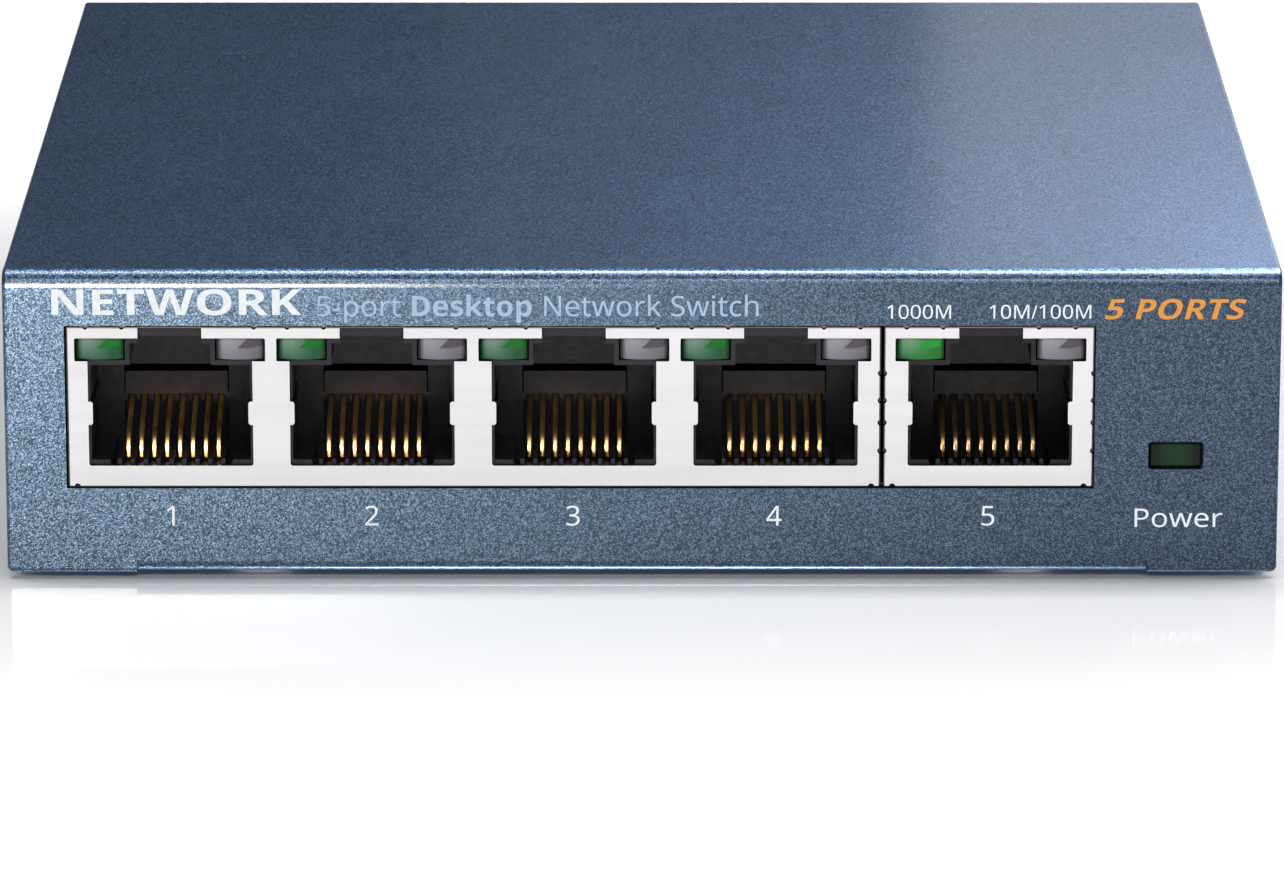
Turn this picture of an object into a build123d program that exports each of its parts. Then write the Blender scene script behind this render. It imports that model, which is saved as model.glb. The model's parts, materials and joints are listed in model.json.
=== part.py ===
"""Desktop network switch with five ports, in millimetres. X runs along the front from the
left end to the right end, -Y is the front with the ports, and Z = 0 is under the feet."""

import math
import os

from build123d import *

# Case
WIDTH = 100.0
DEPTH = 98.0
TOP = 25.0
CASE_BOTTOM = 0.5
SHEET = 0.8
BEND = 1.3
COVER_LOW_BEND = 0.95
FOOT_CORNER = 0.5
EDGE_ROLL = 0.35
FLANGE_HALF = 39.7
FLANGE_DEEP = 8.0
RELIEF = 0.08
RELIEF_TOP = 1.5
FLANGE_LAP = 0.4
WINDOW = (-45.2, 35.5, 7.4, 20.6)
POWER_WINDOW = (39.74, 44.05, 8.95, 11.18)
POWER_CORNER = 0.25
LOCK_SLOT = (-39.5, -32.5, 10.5, 13.5)
LOCK_CORNER = 0.6
X_END = WIDTH / 2
Y_END = DEPTH / 2
PAST = 60.0

# Tray
TRAY_X = 49.75
TRAY_Y = 47.9
TRAY_LOW = 1.35
TRAY_HIGH = 24.1
TRAY_BEND = 1.2
TRAY_CORNER = 1.0
TRAY_FLOOR = TRAY_LOW + SHEET
VENTS = 15
VENT_PITCH = 4.4
VENT_HALF = 0.8
VENT_LOW = 9.8
VENT_HIGH = 17.2
KEYHOLE_X = 32.5
KEYHOLE_HEAD = 3.4
KEYHOLE_SLOT = 2.0
KEYHOLE_DROP = 6.5

# Screws
THREAD_R = 1.25
CROSS_HALF = 0.3
CASE_SCREW_X = 30.0
CASE_SCREW_Y = 44.6
CASE_SCREW_TOP = 5.2
CASE_POST_R = 2.4
CASE_POST_TALL = 2.2
SINK_R = 2.75
SINK_HOLE_R = 1.75
HEAD_R = 2.6
HEAD_NECK_R = 1.6
POST_X = 42.5
POST_FRONT_Y = -10.0
POST_REAR_Y = 40.0
POST_R = 2.8
PAN_TALL = 1.7
PAN_CROWN = 0.7

# Feet
FOOT_R = 4.5
FOOT_X = 41.5
FOOT_Y = 33.0
FOOT_EDGE = 0.4

# Board
BOARD_LOW = 5.85
BOARD_HIGH = 7.45
BOARD_X = 47.8
BOARD_FRONT = -47.5
BOARD_REAR = 47.2
BOARD_CORNER = 1.0
BOARD_HOLE_R = 1.6

# Jacks
PORTS = (-36.96, -21.15, -5.33, 10.48, 27.30)
QUAD = (-45.05, 18.70)
SINGLE = (18.95, 35.40)
JACK_LOW = 7.50
JACK_HIGH = 20.45
JACK_FACE = -48.75
JACK_REAR = -29.75
SHIELD = 0.25
SHIELD_CORNER = 0.18
PLASTIC_GAP = 0.05
PLASTIC_FACE = JACK_FACE + SHIELD + PLASTIC_GAP
PLASTIC_REAR = -30.9
PITCH = 1.016
WIRES = 8

# Openings in the shield's face
LED_EDGE = 7.47
LED_LOW = 17.67
LED_HIGH = 19.53
LED_CORNER = 0.12
MOUTH_HALF = 6.45
MOUTH_LOW = 9.18
MOUTH_CORNER = 0.22
LATCH_HALF = 2.50
ROOF = 0.07
NOTCH_R = 0.21
NOTCH_X = (-6.6, -3.75, 6.6)
END_NOTCH_R = 0.24
END_NOTCH_Z = (16.7, 14.5, 12.7, 10.4)
LOW_NOTCH_IN = 0.7

# Side fingers, as distances from the port's middle
FINGER_LOW = 12.5
FINGER_TALL = 1.9
FINGER_FRONT = 6.10
FINGER_TIP = 5.97
FINGER_BEVEL = 0.14

# Cavity in the insert
CAVITY_HALF = 6.25
CAVITY_LOW = 9.35
CAVITY_TOP = 17.30
CAVITY_REAR = -40.0
SHELF_HALF = 3.17
SHELF_TOP = 19.05
CHANNEL_HALF = 2.46
CHANNEL_TOP = 19.65
RECESS_HALF = 4.15
RECESS_REAR = -38.0
RECESS_TOP = 15.15
TROUGH = 8.75
TROUGH_HALF = 4.7
TROUGH_TOP = 12.0
SIDE_SLOT = (12.35, 14.55)
SIDE_SLOT_REAR = -40.6
LAMP_IN = 3.52
GUIDE = (4.05, 12.75, 14.6)
GUIDE_PROUD = 0.25
COMB_HALF = 0.165
COMB_REAR = -44.3
COMB_TOP = 9.66
REAR_COMB = (12.1, 12.8)
PAD_IN = 4.8
PAD_TOP = 9.6
PAD_REAR = -46.6

# Contact wires: each rises steeply at its front bend, then leans back
WIRE_WIDE = 0.38
WIRE_THICK = 0.26
WIRE_EDGE = 0.09
WIRE_PATH = (
    (-45.48, 9.00),
    (-45.45, 9.55),
    (-45.33, 10.02),
    (-45.02, 10.47),
    (-44.42, 10.88),
    (-43.30, 11.32),
    (-41.70, 11.84),
    (-39.75, 12.45),
)
TAIL_FRONT = -45.8
TAIL_REAR = -33.8
TAIL_LOW = 8.27
TAIL_HIGH = 8.53
TUNNEL_HALF = 0.26
TUNNEL_LOW = 8.15

# Lamps
LAMP_OFF = 5.5
LAMP_HALF = 1.86
LAMP_LOW = 17.78
LAMP_HIGH = 19.42
LAMP_FRONT = -48.62
LAMP_REAR = -42.5
LAMP_BOW_R = 4.6
LEAD_OFF = 0.7
LEAD_HALF = 0.2
LEAD_LOW = 18.4
LEAD_HIGH = 18.8
LEAD_REAR = -30.2
POWER_GAP = 0.12
POWER_FRONT = -48.7
POWER_REAR = -43.0
POWER_EDGE = 0.2
SEAT_WALL = 0.6

# Power inlet
INLET_X = 30.0
INLET_WIDE = 9.0
INLET_TALL = 11.0
INLET_FRONT = 34.3
INLET_FACE = 48.9
INLET_AXIS_Z = BOARD_HIGH + 6.5
INLET_EDGE = 0.5
INLET_GAP = 0.25
BARREL_R = 3.15
BARREL_FLOOR = 39.3
BARREL_RIM = 0.3
PIN_R = 1.0
PIN_ROOT_R = 1.4
PIN_ROOT_Y = 36.0
PIN_TIP_Y = 47.9
PIN_NOSE = 0.6
SPRING_HALF = 1.2
SPRING_SLOT_HALF = 1.6
SPRING_HINGE_Y = 39.0
SPRING_HINGE_R = 0.32

# Components on the board
MAGNETICS_Y = -19.5
CAN_R = 3.1
CAN_TALL = 7.7
CANS = ((40.0, 24.0), (32.0, 24.0), (17.0, 42.5))
COIL_X = 17.75
COIL_HALF = 3.25
COIL_TALL = 3.0
COIL_Y = (24.0, 33.0)
FINS = 8
FIN_PITCH = 2.6
FIN_THICK = 1.2
CAPACITOR_Y = -9.0
RESISTOR_Y = -12.0
ROW_LEFT = -35.7
ROW_PITCH = 4.2
ROW_COUNT = 18
SPARE_Y = (2.0, 6.0, 10.0)


def block(x0, x1, y0, y1, z0, z1):
    """A box between two corners."""
    size = Box(abs(x1 - x0), abs(y1 - y0), abs(z1 - z0))
    return Pos((x0 + x1) / 2, (y0 + y1) / 2, (z0 + z1) / 2) * size


def rod(radius, start, end):
    """A round bar between two points that share two coordinates."""
    a, b = Vector(*start), Vector(*end)
    line = b - a
    return extrude(Plane(origin=a, z_dir=line) * Circle(radius), amount=line.length)


def upright(radius, x, y, z0, z1):
    """A round bar along Z."""
    return rod(radius, (x, y, z0), (x, y, z1))


def four(x, y0, y1):
    """Two places on each side of the middle."""
    return [(sx * x, y) for sx in (-1, 1) for y in (y0, y1)]


def wire_places(x, count=WIRES):
    """The X of each wire of a port, or of the walls between them."""
    return [x + (k - (count - 1) / 2) * PITCH for k in range(count)]


def cut(shape, pieces):
    """A shape with several pieces taken away."""
    return shape.cut(*pieces)


def edges_along_y(shape, near_z=None):
    """The edges that run along Y, or only those at one height."""
    edges = shape.edges().filter_by(Axis.Y)
    return [e for e in edges if near_z is None or abs(e.center().Z - near_z) < 0.02]


def round_edges(shape, height, radius):
    """Round the two edges along X at one height."""
    edges = [e for e in shape.edges().filter_by(Axis.X) if abs(e.center().Z - height) < 1e-4]
    return fillet(edges, radius)


def save(name, shape):
    """Write one node from a shape or a list of shapes."""
    shapes = shape if isinstance(shape, list) else [shape]
    solids = [s for one in shapes for s in one.solids()]
    node = solids[0] if len(solids) == 1 else Compound(children=solids)
    node.label = name
    export_step(node, f"parts/{name}.step")


def folded_loop():
    """The cover's middle stretch: a tube of sheet along X that turns under the front and rear."""
    outer = block(-FLANGE_HALF, FLANGE_HALF, -Y_END, Y_END, CASE_BOTTOM, TOP)
    outer = round_edges(outer, TOP, BEND)
    outer = round_edges(outer, CASE_BOTTOM, COVER_LOW_BEND)
    y, low, high = Y_END - SHEET, CASE_BOTTOM + SHEET, TOP - SHEET
    inner = block(-X_END, X_END, -y, y, low, high)
    inner = round_edges(inner, high, BEND - SHEET)
    inner = round_edges(inner, low, COVER_LOW_BEND - SHEET)
    return outer - inner


def top_cover():
    """Top, front and rear in one folded sheet, with a return flange under the front and rear."""
    shell = block(-X_END, X_END, -Y_END, Y_END, CASE_BOTTOM, TOP)
    shell = round_edges(shell, TOP, BEND)
    shell = fillet(edges_along_y(shell, CASE_BOTTOM), FOOT_CORNER)
    ends = [e for e in shell.edges() if e.center().Z > 1.0 and e.bounding_box().size.X < 0.01]
    ends = [e for e in ends if abs(abs(e.center().X) - X_END) < 0.01]
    shell = fillet(ends, EDGE_ROLL)
    inner = block(-PAST, PAST, -Y_END + SHEET, Y_END - SHEET, -1, TOP - SHEET)
    shell = shell - round_edges(inner, TOP - SHEET, BEND - SHEET)
    gap = FLANGE_HALF + RELIEF
    shell = shell - block(-gap, gap, -PAST, PAST, 0, RELIEF_TOP)
    middle = folded_loop()
    middle = middle - block(-PAST, PAST, -Y_END + FLANGE_DEEP, Y_END - FLANGE_DEEP, 0, 5)
    middle = middle - block(-PAST, PAST, -PAST, PAST, RELIEF_TOP + FLANGE_LAP, TOP + 1)
    shell = shell.fuse(middle)
    front, rear = (-Y_END - 1, -Y_END + 3), (Y_END - 3, Y_END + 1)
    x0, x1, z0, z1 = WINDOW
    tools = [block(x0, x1, *front, z0, z1)]
    x0, x1, z0, z1 = POWER_WINDOW
    tools.append(fillet(edges_along_y(block(x0, x1, *front, z0, z1)), POWER_CORNER))
    half = INLET_WIDE / 2 + INLET_GAP
    low, high = BOARD_HIGH - 0.2, BOARD_HIGH + INLET_TALL + INLET_GAP
    inlet = block(INLET_X - half, INLET_X + half, *rear, low, high)
    tools.append(fillet(edges_along_y(inlet), INLET_EDGE))
    x0, x1, z0, z1 = LOCK_SLOT
    tools.append(fillet(edges_along_y(block(x0, x1, *rear, z0, z1)), LOCK_CORNER))
    for x, y in four(CASE_SCREW_X, -CASE_SCREW_Y, CASE_SCREW_Y):
        tools.append(Pos(x, y, CASE_BOTTOM + 0.4) * Cone(SINK_R, SINK_HOLE_R, 1.0))
        tools.append(upright(SINK_HOLE_R, x, y, 0, 3))
    return cut(shell, tools)


def base_tray():
    """Bottom and both sides in one folded sheet, with vents, keyholes and pressed posts."""
    outer = block(-TRAY_X, TRAY_X, -TRAY_Y, TRAY_Y, TRAY_LOW, TRAY_HIGH)
    outer = fillet(edges_along_y(outer, TRAY_LOW), TRAY_BEND)
    outer = round_edges(outer, TRAY_HIGH, TRAY_CORNER)
    reach = TRAY_X - SHEET
    inner = block(-reach, reach, -PAST, PAST, TRAY_FLOOR, TRAY_HIGH + 1)
    inner = fillet(edges_along_y(inner, TRAY_FLOOR), TRAY_BEND - SHEET)
    tray = outer - inner
    board_posts = four(POST_X, POST_FRONT_Y, POST_REAR_Y)
    case_posts = four(CASE_SCREW_X, -CASE_SCREW_Y, CASE_SCREW_Y)
    posts = [upright(POST_R, x, y, TRAY_LOW, BOARD_LOW) for x, y in board_posts]
    posts += [upright(CASE_POST_R, x, y, TRAY_LOW, TRAY_LOW + CASE_POST_TALL) for x, y in case_posts]
    tray = tray.fuse(*posts)
    tools = [upright(THREAD_R, x, y, 0, BOARD_HIGH) for x, y in board_posts + case_posts]
    for x in (-KEYHOLE_X, KEYHOLE_X):
        tools.append(upright(KEYHOLE_HEAD, x, 0, 0, 4))
        tools.append(upright(KEYHOLE_SLOT, x, -KEYHOLE_DROP, 0, 4))
        tools.append(block(x - KEYHOLE_SLOT, x + KEYHOLE_SLOT, -KEYHOLE_DROP, 0, 0, 4))
    for i in range(VENTS):
        y = (i - (VENTS - 1) / 2) * VENT_PITCH
        tools.append(block(-PAST, PAST, y - VENT_HALF, y + VENT_HALF, VENT_LOW, VENT_HIGH))
        for z in (VENT_LOW, VENT_HIGH):
            tools.append(rod(VENT_HALF, (-PAST, y, z), (PAST, y, z)))
    return cut(tray, tools)


def cross_recess(x, y, half, z0, z1):
    """Two crossed slots for a driver."""
    along_x = block(x - half, x + half, y - CROSS_HALF, y + CROSS_HALF, z0, z1)
    along_y = block(x - CROSS_HALF, x + CROSS_HALF, y - half, y + half, z0, z1)
    return [along_x, along_y]


def cover_screws():
    """Four countersunk screws up through the flanges into the tray."""
    made = []
    for x, y in four(CASE_SCREW_X, -CASE_SCREW_Y, CASE_SCREW_Y):
        head = Pos(x, y, CASE_BOTTOM + 0.45) * Cone(HEAD_R, HEAD_NECK_R, 0.8)
        screw = head.fuse(upright(THREAD_R, x, y, CASE_BOTTOM + 0.5, CASE_SCREW_TOP))
        made.append(cut(screw, cross_recess(x, y, 1.4, 0, CASE_BOTTOM + 0.55)))
    return made


def board_screws():
    """Four pan-head screws that hold the board to the pressed posts."""
    made = []
    top = BOARD_HIGH + PAN_TALL
    for x, y in four(POST_X, POST_FRONT_Y, POST_REAR_Y):
        head = upright(HEAD_R, x, y, BOARD_HIGH, top)
        head = fillet(head.edges().sort_by(Axis.Z)[-1], PAN_CROWN)
        screw = head.fuse(upright(THREAD_R, x, y, 3.0, BOARD_HIGH + 0.2))
        made.append(cut(screw, cross_recess(x, y, 1.5, top - 0.9, top + 1)))
    return made


def rubber_foot(x, y):
    """A round stick-on foot."""
    foot = upright(FOOT_R, x, y, 0, TRAY_LOW)
    return fillet(foot.edges().sort_by(Axis.Z)[0], FOOT_EDGE)


def main_board():
    """The circuit board, with its fixing holes."""
    board = block(-BOARD_X, BOARD_X, BOARD_FRONT, BOARD_REAR, BOARD_LOW, BOARD_HIGH)
    board = fillet(board.edges().filter_by(Axis.Z), BOARD_CORNER)
    holes = [upright(BOARD_HOLE_R, x, y, 0, 10) for x, y in four(POST_X, POST_FRONT_Y, POST_REAR_Y)]
    return cut(board, holes)


def cavity_tools(x):
    """What is cut from the insert for one port: mouth, latch channel, lamps and wire tunnels."""
    front = PLASTIC_FACE - 1
    tools = [block(x - CAVITY_HALF, x + CAVITY_HALF, front, CAVITY_REAR, CAVITY_LOW, CAVITY_TOP)]
    tools.append(block(x - SHELF_HALF, x + SHELF_HALF, front, CAVITY_REAR, CAVITY_TOP - 0.5, SHELF_TOP))
    tools.append(block(x - CHANNEL_HALF, x + CHANNEL_HALF, front, CAVITY_REAR, SHELF_TOP - 0.5, CHANNEL_TOP))
    tools.append(block(x - RECESS_HALF, x + RECESS_HALF, CAVITY_REAR - 1, RECESS_REAR, TROUGH, RECESS_TOP))
    tools.append(block(x - TROUGH_HALF, x + TROUGH_HALF, front, CAVITY_REAR + 0.1, TROUGH, TROUGH_TOP))
    for side in (-1, 1):
        a, b = x + side * LAMP_IN, x + side * (LED_EDGE + 0.05)
        tools.append(block(a, b, front, PLASTIC_REAR + 1, LED_LOW + 0.02, LED_HIGH - 0.02))
        a, b = x + side * (CAVITY_HALF - 0.5), x + side * (CAVITY_HALF + 0.55)
        tools.append(block(a, b, front, SIDE_SLOT_REAR, *SIDE_SLOT))
    for w in wire_places(x):
        a, b = w - TUNNEL_HALF, w + TUNNEL_HALF
        tools.append(block(a, b, TAIL_FRONT - 0.1, TAIL_REAR + 0.1, TUNNEL_LOW, TROUGH - 0.1))
        tools.append(block(a, b, TAIL_FRONT - 0.1, TAIL_FRONT + 0.5, TUNNEL_LOW + 0.25, TROUGH + 0.1))
        tools.append(block(a, b, TAIL_REAR - 0.5, TAIL_REAR + 0.1, JACK_LOW - 0.5, TROUGH - 0.1))
    return tools


def cavity_ribs(x):
    """What stands in one port: wire guide, latch pad, corner pads and the combs between wires."""
    half, low, high = GUIDE
    rear = RECESS_REAR + 0.1
    ribs = [block(x - half, x + half, CAVITY_REAR - GUIDE_PROUD, rear, low, high)]
    top = JACK_HIGH - ROOF - 0.02
    ribs.append(block(x - CHANNEL_HALF, x + CHANNEL_HALF, PLASTIC_FACE, -46.3, JACK_HIGH - 0.4, top))
    for side in (-1, 1):
        a, b = x + side * PAD_IN, x + side * (CAVITY_HALF + 0.1)
        ribs.append(block(a, b, PLASTIC_FACE, PAD_REAR, CAVITY_LOW - 0.2, PAD_TOP))
    for w in wire_places(x, WIRES + 1):
        a, b = w - COMB_HALF, w + COMB_HALF
        ribs.append(block(a, b, PLASTIC_FACE, COMB_REAR, TROUGH - 0.25, COMB_TOP))
        ribs.append(block(a, b, CAVITY_REAR, rear, *REAR_COMB))
    return ribs


def jack_housing(span, ports):
    """The moulded insert of a jack."""
    wall = SHIELD + PLASTIC_GAP
    x0, x1 = span[0] + wall, span[1] - wall
    body = block(x0, x1, PLASTIC_FACE, PLASTIC_REAR, JACK_LOW, JACK_HIGH - wall)
    body = cut(body, [tool for x in ports for tool in cavity_tools(x)])
    return body.fuse(*[rib for x in ports for rib in cavity_ribs(x)])


def side_finger(x, side):
    """A contact finger bent into the port's mouth from one side of the shield."""
    outer = MOUTH_HALF + 0.12
    face, bend, end = JACK_FACE + 0.02, -46.2, -42.0
    profile = [
        (outer, face),
        (FINGER_FRONT, face),
        (FINGER_TIP, bend),
        (FINGER_TIP + 0.08, end),
        (FINGER_TIP + 0.28, end),
        (FINGER_TIP + 0.20, bend),
        (FINGER_FRONT + 0.20, face + 0.22),
        (outer, face + 0.22),
    ]
    outline = Polyline(*[(x + side * a, b, FINGER_LOW) for a, b in profile], close=True)
    finger = extrude(make_face(outline), amount=FINGER_TALL, dir=(0, 0, 1))
    middle = x + side * (FINGER_FRONT + FINGER_TIP) / 2
    leading = [e for e in finger.edges() if abs(e.center().X - middle) < 0.02]
    leading = [e for e in leading if e.bounding_box().size.Y > 1.0]
    return chamfer(leading, FINGER_BEVEL)


def jack_shield(span, ports, both_ends):
    """The tinned steel can round a jack, folded from thin sheet."""
    x0, x1 = span
    can = block(x0, x1, JACK_FACE, JACK_REAR, JACK_LOW, JACK_HIGH)
    can = fillet(edges_along_y(can), SHIELD_CORNER)
    inside = (JACK_FACE + SHIELD, JACK_REAR - SHIELD, JACK_LOW - 1, JACK_HIGH - SHIELD)
    can = can - block(x0 + SHIELD, x1 - SHIELD, *inside)
    front, back = JACK_FACE - 1, JACK_FACE + SHIELD + 0.02
    tools = []
    for x in ports:
        lamps = block(x - LED_EDGE, x + LED_EDGE, front, back, LED_LOW, LED_HIGH)
        tools.append(fillet(edges_along_y(lamps), LED_CORNER))
        mouth = block(x - MOUTH_HALF, x + MOUTH_HALF, front, back, MOUTH_LOW, LED_HIGH - 0.2)
        tools.append(fillet(edges_along_y(mouth, MOUTH_LOW), MOUTH_CORNER))
        top = JACK_HIGH - ROOF
        tools.append(block(x - LATCH_HALF, x + LATCH_HALF, front, -46.2, LED_HIGH - 0.2, top))
        notches = NOTCH_X if x != ports[-1] else NOTCH_X + (-NOTCH_X[1],)
        for dx in notches:
            tools.append(rod(NOTCH_R, (x + dx, front, JACK_HIGH), (x + dx, back, JACK_HIGH)))
    for x in span if both_ends else span[1:]:
        for z in END_NOTCH_Z:
            tools.append(rod(END_NOTCH_R, (x, front, z), (x, back, z)))
    for x in (x0 + LOW_NOTCH_IN, x1 - LOW_NOTCH_IN):
        tools.append(rod(END_NOTCH_R, (x, front, JACK_LOW), (x, back, JACK_LOW)))
    can = cut(can, tools)
    extra = [side_finger(x, side) for x in ports for side in (-1, 1)]
    for x in (x0 + 0.02, x1 - SHIELD - 0.02):
        for y in (-44.0, -34.5):
            extra.append(block(x, x + SHIELD, y, y + 1.8, BOARD_HIGH, JACK_LOW + 0.5))
    return can.fuse(*extra)


def offset_path(points, distance):
    """A path moved sideways, each point along its own normal."""
    moved = []
    last = len(points) - 1
    for i, (y, z) in enumerate(points):
        before, after = points[max(i - 1, 0)], points[min(i + 1, last)]
        dy, dz = after[0] - before[0], after[1] - before[1]
        length = math.hypot(dy, dz)
        moved.append((y - dz / length * distance, z + dy / length * distance))
    return moved


def contact_wires(x):
    """Eight sprung wires that pivot at their front bend and rise to the rear."""
    upper = [(0, y, z) for y, z in offset_path(WIRE_PATH, WIRE_THICK / 2)]
    lower = [(0, y, z) for y, z in offset_path(WIRE_PATH, -WIRE_THICK / 2)]
    sides = [Spline(*upper), Line(upper[-1], lower[-1]), Spline(*lower), Line(lower[0], upper[0])]
    wire = extrude(make_face(Wire(sides)), amount=WIRE_WIDE, dir=(1, 0, 0))
    long_edges = [e for e in wire.edges() if e.length > 5]
    wire = fillet(long_edges, WIRE_EDGE)
    return [Pos(w - WIRE_WIDE / 2, 0, 0) * wire for w in wire_places(x)]


def contact_tails(x):
    """The fixed ends of the wires, back through the floor and down to the board."""
    made = []
    for w in wire_places(x):
        a, b = w - WIRE_WIDE / 2, w + WIRE_WIDE / 2
        run = block(a, b, TAIL_FRONT, TAIL_REAR, TAIL_LOW, TAIL_HIGH)
        made.append(run.fuse(block(a, b, TAIL_REAR - WIRE_THICK, TAIL_REAR, BOARD_HIGH, TAIL_HIGH)))
    return made


def port_lamp(x):
    """A lamp with a bowed front, filling one pocket."""
    body = block(x - LAMP_HALF, x + LAMP_HALF, LAMP_FRONT - 1, LAMP_REAR, LAMP_LOW, LAMP_HIGH)
    y = LAMP_FRONT + LAMP_BOW_R
    bow = upright(LAMP_BOW_R, x, y, LAMP_LOW - 1, LAMP_HIGH + 1)
    behind = block(x - LAMP_BOW_R, x + LAMP_BOW_R, -46.5, -40, LAMP_LOW - 1, LAMP_HIGH + 1)
    return body & bow.fuse(behind)


def lamp_leads():
    """Two leads a lamp, back over the insert and down behind it."""
    made = []
    sides = [x + side * LAMP_OFF for x in PORTS for side in (-1, 1)]
    for middle in [c + off for c in sides for off in (-LEAD_OFF, LEAD_OFF)]:
        a, b = middle - LEAD_HALF, middle + LEAD_HALF
        over = block(a, b, LAMP_REAR, LEAD_REAR, LEAD_LOW, LEAD_HIGH)
        made.append(over.fuse(block(a, b, LEAD_REAR - 0.4, LEAD_REAR, BOARD_HIGH, LEAD_HIGH)))
    return made


def power_led():
    """The lens of the power lamp, seen through its own window."""
    x0, x1, z0, z1 = POWER_WINDOW
    gap = POWER_GAP
    lens = block(x0 + gap, x1 - gap, POWER_FRONT, POWER_REAR, z0 + gap, z1 - gap)
    lens = fillet(edges_along_y(lens), POWER_EDGE)
    return fillet(lens.faces().sort_by(Axis.Y)[0].edges(), POWER_EDGE)


def power_led_holder():
    """The black seat that carries the power lamp at window height."""
    x0, x1, z0, z1 = POWER_WINDOW
    wall, gap = SEAT_WALL, POWER_GAP - 0.05
    seat = block(x0 - wall, x1 + wall, -47.9, -41.5, BOARD_HIGH, z1 + wall)
    return seat - block(x0 + gap, x1 - gap, -Y_END, POWER_REAR + 0.1, z0 + gap, z1 - gap)


def dc_jack_body():
    """The moulded power inlet, with its barrel open to the rear."""
    half, z = INLET_WIDE / 2, INLET_AXIS_Z
    height = (BOARD_HIGH, BOARD_HIGH + INLET_TALL)
    body = block(INLET_X - half, INLET_X + half, INLET_FRONT, INLET_FACE, *height)
    body = fillet(edges_along_y(body), INLET_EDGE)
    tools = [rod(BARREL_R, (INLET_X, BARREL_FLOOR, z), (INLET_X, INLET_FACE + 1, z))]
    tools.append(rod(PIN_ROOT_R, (INLET_X, PIN_ROOT_Y, z), (INLET_X, BARREL_FLOOR + 1, z)))
    a, b = INLET_X - SPRING_SLOT_HALF, INLET_X + SPRING_SLOT_HALF
    tools.append(block(a, b, SPRING_HINGE_Y - 0.8, 47.6, 9.0, z - BARREL_R + 0.9))
    body = cut(body, tools)
    rim = [e for e in body.edges().filter_by(GeomType.CIRCLE) if abs(e.center().Y - INLET_FACE) < 0.01]
    return chamfer(rim[0], BARREL_RIM)


def dc_jack_centre_pin():
    """The centre pin, round at its tip and thicker where the body grips it."""
    z = INLET_AXIS_Z
    pin = rod(PIN_R, (INLET_X, BARREL_FLOOR - 0.3, z), (INLET_X, PIN_TIP_Y, z))
    pin = fillet(pin.edges().sort_by(Axis.Y)[-1], PIN_NOSE)
    return pin.fuse(rod(PIN_ROOT_R, (INLET_X, PIN_ROOT_Y, z), (INLET_X, BARREL_FLOOR, z)))


def dc_jack_spring():
    """The leaf that presses on a plug's sleeve, hinged at its inner end."""
    low = INLET_AXIS_Z - BARREL_R
    path = [
        (SPRING_HINGE_Y, low - 0.95),
        (44.6, low + 0.12),
        (46.8, low - 0.75),
        (46.6, low - 0.98),
        (44.6, low - 0.20),
        (SPRING_HINGE_Y, low - 1.25),
    ]
    a, b = INLET_X - SPRING_HALF, INLET_X + SPRING_HALF
    outline = Polyline(*[(a, y, z) for y, z in path], close=True)
    leaf = extrude(make_face(outline), amount=b - a, dir=(1, 0, 0))
    z = low - 1.1
    return leaf.fuse(rod(SPRING_HINGE_R, (a, SPRING_HINGE_Y, z), (b, SPRING_HINGE_Y, z)))


def dc_jack_terminals():
    """Flat terminals from the inlet down to the board."""
    a, b = INLET_X - 1.0, INLET_X + 1.0
    y, z = INLET_FRONT - 0.7, INLET_AXIS_Z - 0.5
    centre = block(a, b, y, y + 0.3, BOARD_HIGH, z)
    centre = centre.fuse(block(a, b, y, INLET_FRONT - 0.05, z - 0.3, z))
    side = INLET_X - INLET_WIDE / 2 - 0.1
    return [centre, block(side - 0.5, side, 38.0, 40.0, BOARD_HIGH, 11.0)]


def chip_leg(middle, edge, out, half, rise, turned):
    """One folded leg: out of the body, down, and flat on the board."""
    steps = [(0.0, 0.7, rise - 0.1, rise + 0.1), (0.5, 0.7, 0.0, rise + 0.1), (0.5, 1.3, 0.0, 0.2)]
    pieces = []
    for near, far, low, high in steps:
        across, along = (middle - half, middle + half), (edge + out * near, edge + out * far)
        plan = along + across if turned else across + along
        pieces.append(block(*plan, BOARD_HIGH + low, BOARD_HIGH + high))
    return pieces[0].fuse(*pieces[1:])


def chip(x, y, plan, low, high, legs, pitch, all_round):
    """A moulded chip with a pin-one dimple, and folded legs on two or all four sides."""
    wide, deep = plan[0] / 2, plan[1] / 2
    top = BOARD_HIGH + high
    body = block(x - wide, x + wide, y - deep, y + deep, BOARD_HIGH + low, top)
    body = chamfer(body.faces().sort_by(Axis.Z)[-1].edges(), 0.2)
    body = body - upright(0.5, x - wide + 1.2, y - deep + 1.2, top - 0.15, top + 1)
    made = [body]
    half, rise = pitch * 0.22, (low + high) / 2
    for i in range(legs):
        t = (i - (legs - 1) / 2) * pitch
        for side in (-1, 1):
            made.append(chip_leg(x + t, y + side * deep, side, half, rise, False))
            if all_round:
                made.append(chip_leg(y + t, x + side * wide, side, half, rise, True))
    return made


def heatsink():
    """A finned block on the main chip."""
    x0, x1, y0, y1 = -12, 8, -1, 19
    low = BOARD_HIGH + 2.0
    base = block(x0, x1, y0, y1, low, low + 2)
    lefts = [x0 + i * FIN_PITCH for i in range(FINS)]
    return base.fuse(*[block(x, x + FIN_THICK, y0, y1, low + 1.5, low + 8) for x in lefts])


def crystal():
    """A low metal can with round ends."""
    can = block(-26, -15, 22, 26.6, BOARD_HIGH, BOARD_HIGH + 3.4)
    can = fillet(can.edges().filter_by(Axis.Z), 2.2)
    return fillet(can.faces().sort_by(Axis.Z)[-1].edges(), 0.4)


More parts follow.
